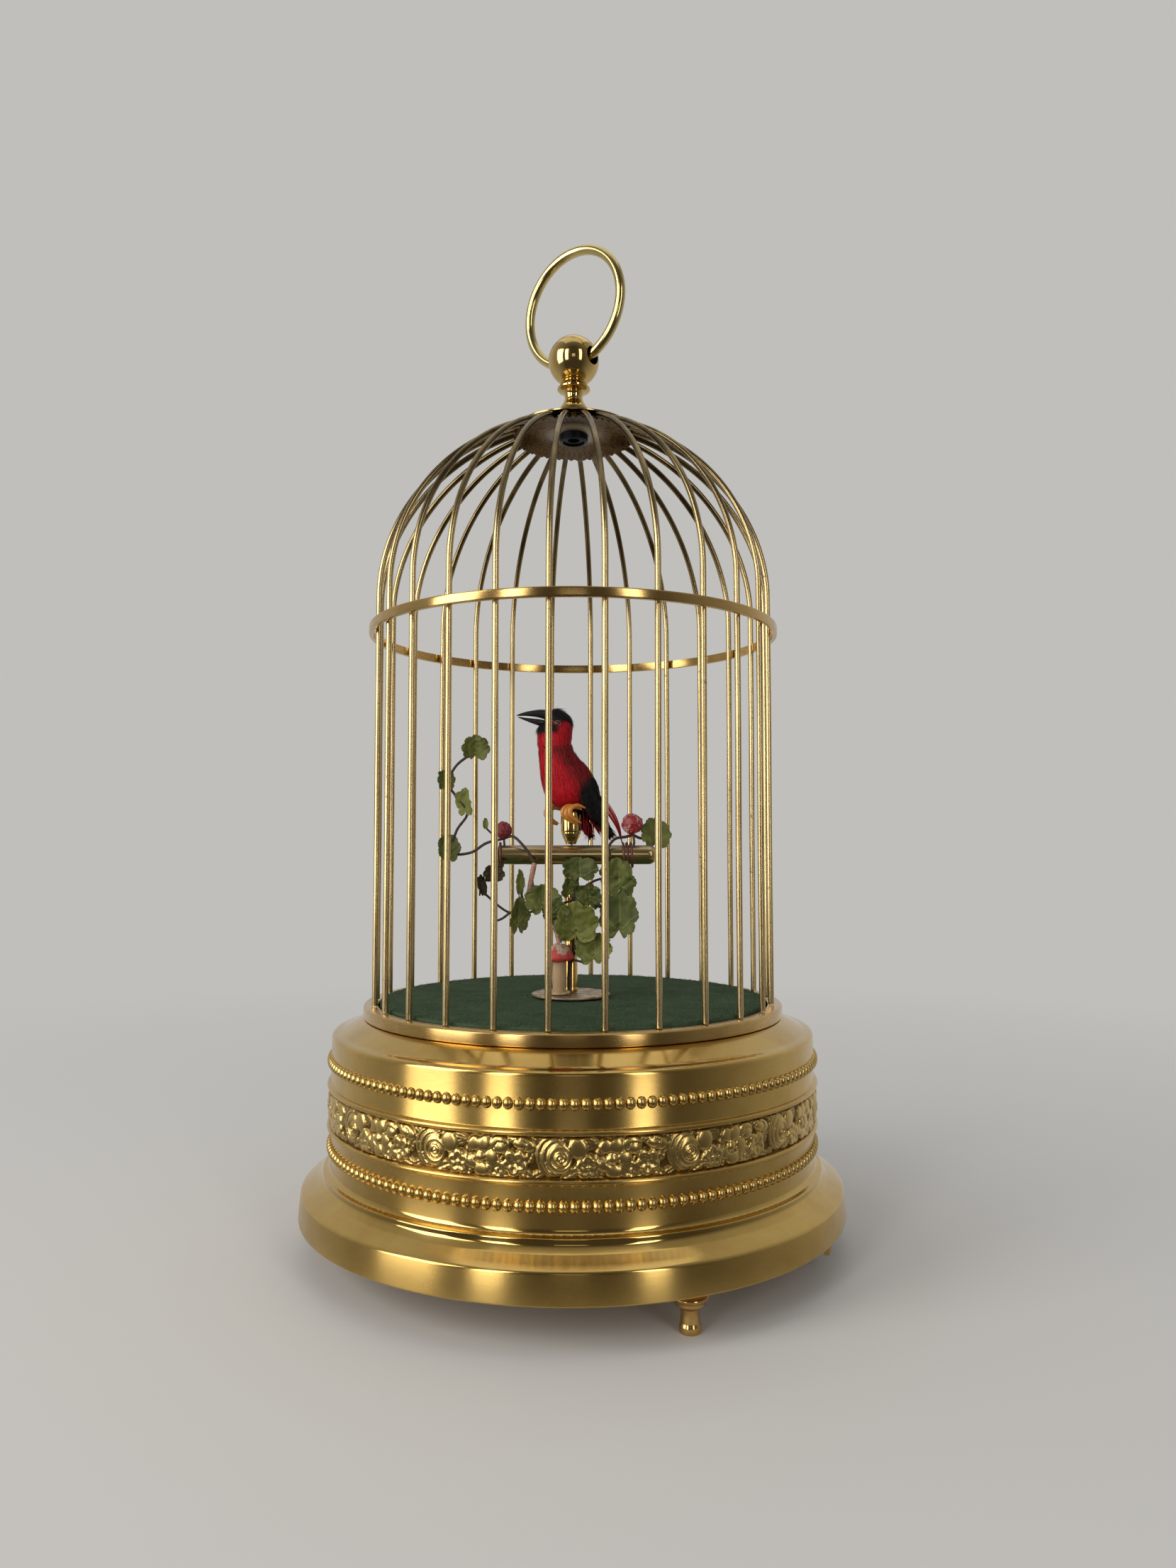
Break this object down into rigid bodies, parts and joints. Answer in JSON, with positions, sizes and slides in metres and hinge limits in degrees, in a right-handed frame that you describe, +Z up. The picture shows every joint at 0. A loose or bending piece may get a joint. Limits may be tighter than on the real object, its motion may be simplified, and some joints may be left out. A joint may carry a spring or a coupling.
{
  "type": "singing bird automaton",
  "caption": "Domed brass wire bird cage on an embossed round drum with a wind-up movement, a feathered bird on a perch and a loose carrying ring.",
  "frame": {"origin": "on the cage's axis, at the level of the table that the feet stand on", "axes": "+Z up the cage's axis, -Y towards the front that the picture shows, +X to the viewer's right"},
  "size_m": [0.155, 0.155, 0.2955],
  "materials": {
    "drum_brass": "spun and embossed, lacquered, satin bands",
    "plain_brass": "turned, lacquered",
    "cage_brass": "drawn, dulled lacquer",
    "cap_brass": "spun, tarnished",
    "polished_brass": "turned and polished",
    "stage_board": "raw board",
    "green_felt": "felt",
    "movement_brass": "matt",
    "movement_steel": "turned",
    "bellows_leather": "thin kid leather",
    "red_feathers": "feathers",
    "black_feathers": "feathers",
    "orange_feathers": "feathers",
    "beak_horn": "black lacquer",
    "glass_eye": "bead",
    "leaf_cloth": "stiffened printed cloth",
    "stem_wire": "paper wrapped wire",
    "copper_wrap": "silk floss wound on wire",
    "berry_red": "varnished foil over composition",
    "painted_papier_mache": "painted, chipped",
    "mushroom_stalk": "painted",
    "solder": "dull solder"
  },
  "bodies": {
    "cage": {"base_drum": "drum_brass", "bottom_plate": "plain_brass", "foot_1": "plain_brass", "foot_2": "plain_brass", "foot_3": "plain_brass", "stage_plate": "stage_board", "felt_floor": "green_felt", "cage_base_ring": "cage_brass", "cage_band": "cage_brass", "cage_wire_01": "cage_brass", "cage_wire_02": "cage_brass", "cage_wire_03": "cage_brass", "cage_wire_04": "cage_brass", "cage_wire_05": "cage_brass", "cage_wire_06": "cage_brass", "cage_wire_07": "cage_brass", "cage_wire_08": "cage_brass", "cage_wire_09": "cage_brass", "cage_wire_10": "cage_brass", "cage_wire_11": "cage_brass", "cage_wire_12": "cage_brass", "cage_wire_13": "cage_brass", "cage_wire_14": "cage_brass", "cage_wire_15": "cage_brass", "cage_wire_16": "cage_brass", "cage_wire_17": "cage_brass", "cage_wire_18": "cage_brass", "cage_wire_19": "cage_brass", "cage_wire_20": "cage_brass", "cage_wire_21": "cage_brass", "cage_wire_22": "cage_brass", "cage_wire_23": "cage_brass", "cage_wire_24": "cage_brass", "cage_wire_25": "cage_brass", "cage_wire_26": "cage_brass", "cage_cap": "cap_brass", "inner_dish": "cap_brass", "finial": "polished_brass", "post_flange": "polished_brass", "perch_post": "polished_brass", "perch_bar": "polished_brass", "bird_socket": "polished_brass", "movement_frame": "movement_brass", "bellows": "bellows_leather", "whistle": "movement_brass", "bird_body": "red_feathers", "vine_spray": "leaf_cloth", "leaf_bouquet": "leaf_cloth", "right_sprig": "leaf_cloth", "mushroom": "painted_papier_mache"},
    "carrying_ring": {"carrying_ring": "polished_brass"},
    "winding_key": {"winding_key": "plain_brass"},
    "barrel": {"mainspring_barrel": "movement_brass"},
    "cam_shaft": {"cam_shaft": "movement_steel"},
    "fly": {"fly_governor": "movement_steel"},
    "stop_lever": {"stop_lever": "plain_brass"},
    "bird_head": {"bird_head": "red_feathers"},
    "lower_beak": {"bird_lower_beak": "beak_horn"},
    "bird_tail": {"bird_tail": "red_feathers"},
    "drive_rod": {"drive_rod": "movement_steel"}
  },
  "joints": [
    {"name": "ring_swing", "type": "hinge", "parent": "cage", "child": "carrying_ring", "pos_m": [0, 0, 0.26], "axis": [0.7944, -0.6074, 0], "range_deg": [-125, 125]},
    {"name": "key_wind", "type": "hinge", "parent": "cage", "child": "winding_key", "pos_m": [0, 0, 0.01], "axis": [0, 0, 1], "continuous": true},
    {"name": "barrel_turn", "type": "hinge", "parent": "cage", "child": "barrel", "pos_m": [0, 0, 0.03], "axis": [0, 0, 1], "continuous": true},
    {"name": "cam_turn", "type": "hinge", "parent": "cage", "child": "cam_shaft", "pos_m": [-0.02685, 0.0155, 0.03], "axis": [0, 0, 1], "continuous": true},
    {"name": "fly_turn", "type": "hinge", "parent": "cage", "child": "fly", "pos_m": [-0.03925, -0.00598, 0.03], "axis": [0, 0, 1], "continuous": true},
    {"name": "stop_lever_swing", "type": "hinge", "parent": "cage", "child": "stop_lever", "pos_m": [0.05555, -0.02132, 0.0117], "axis": [0, 0, 1], "range_deg": [0, 18]},
    {"name": "head_turn", "type": "hinge", "parent": "cage", "child": "bird_head", "pos_m": [-0.00562, -0.00344, 0.1438], "axis": [0, 0, 1], "range_deg": [-12, 48]},
    {"name": "rod_turn", "type": "hinge", "parent": "cage", "child": "drive_rod", "pos_m": [-0.0007, 0, 0.09], "axis": [0, 0, 1], "range_deg": [-12, 48]},
    {"name": "beak_open", "type": "hinge", "parent": "bird_head", "child": "lower_beak", "pos_m": [-0.00984, -0.00426, 0.1494], "axis": [0.1908, -0.9816, 0], "range_deg": [-2, 14], "stiffness_Nm_per_rad": 0.00002},
    {"name": "tail_wag", "type": "hinge", "parent": "cage", "child": "bird_tail", "pos_m": [0.00495, 0.00396, 0.1231], "axis": [0.5736, -0.8192, 0], "range_deg": [-8, 14], "stiffness_Nm_per_rad": 0.0003}
  ],
  "couplings": [
    {"joint": "cam_turn", "follows": "barrel_turn", "ratio": -3},
    {"joint": "fly_turn", "follows": "barrel_turn", "ratio": 9},
    {"joint": "rod_turn", "follows": "head_turn", "ratio": 1}
  ]
}
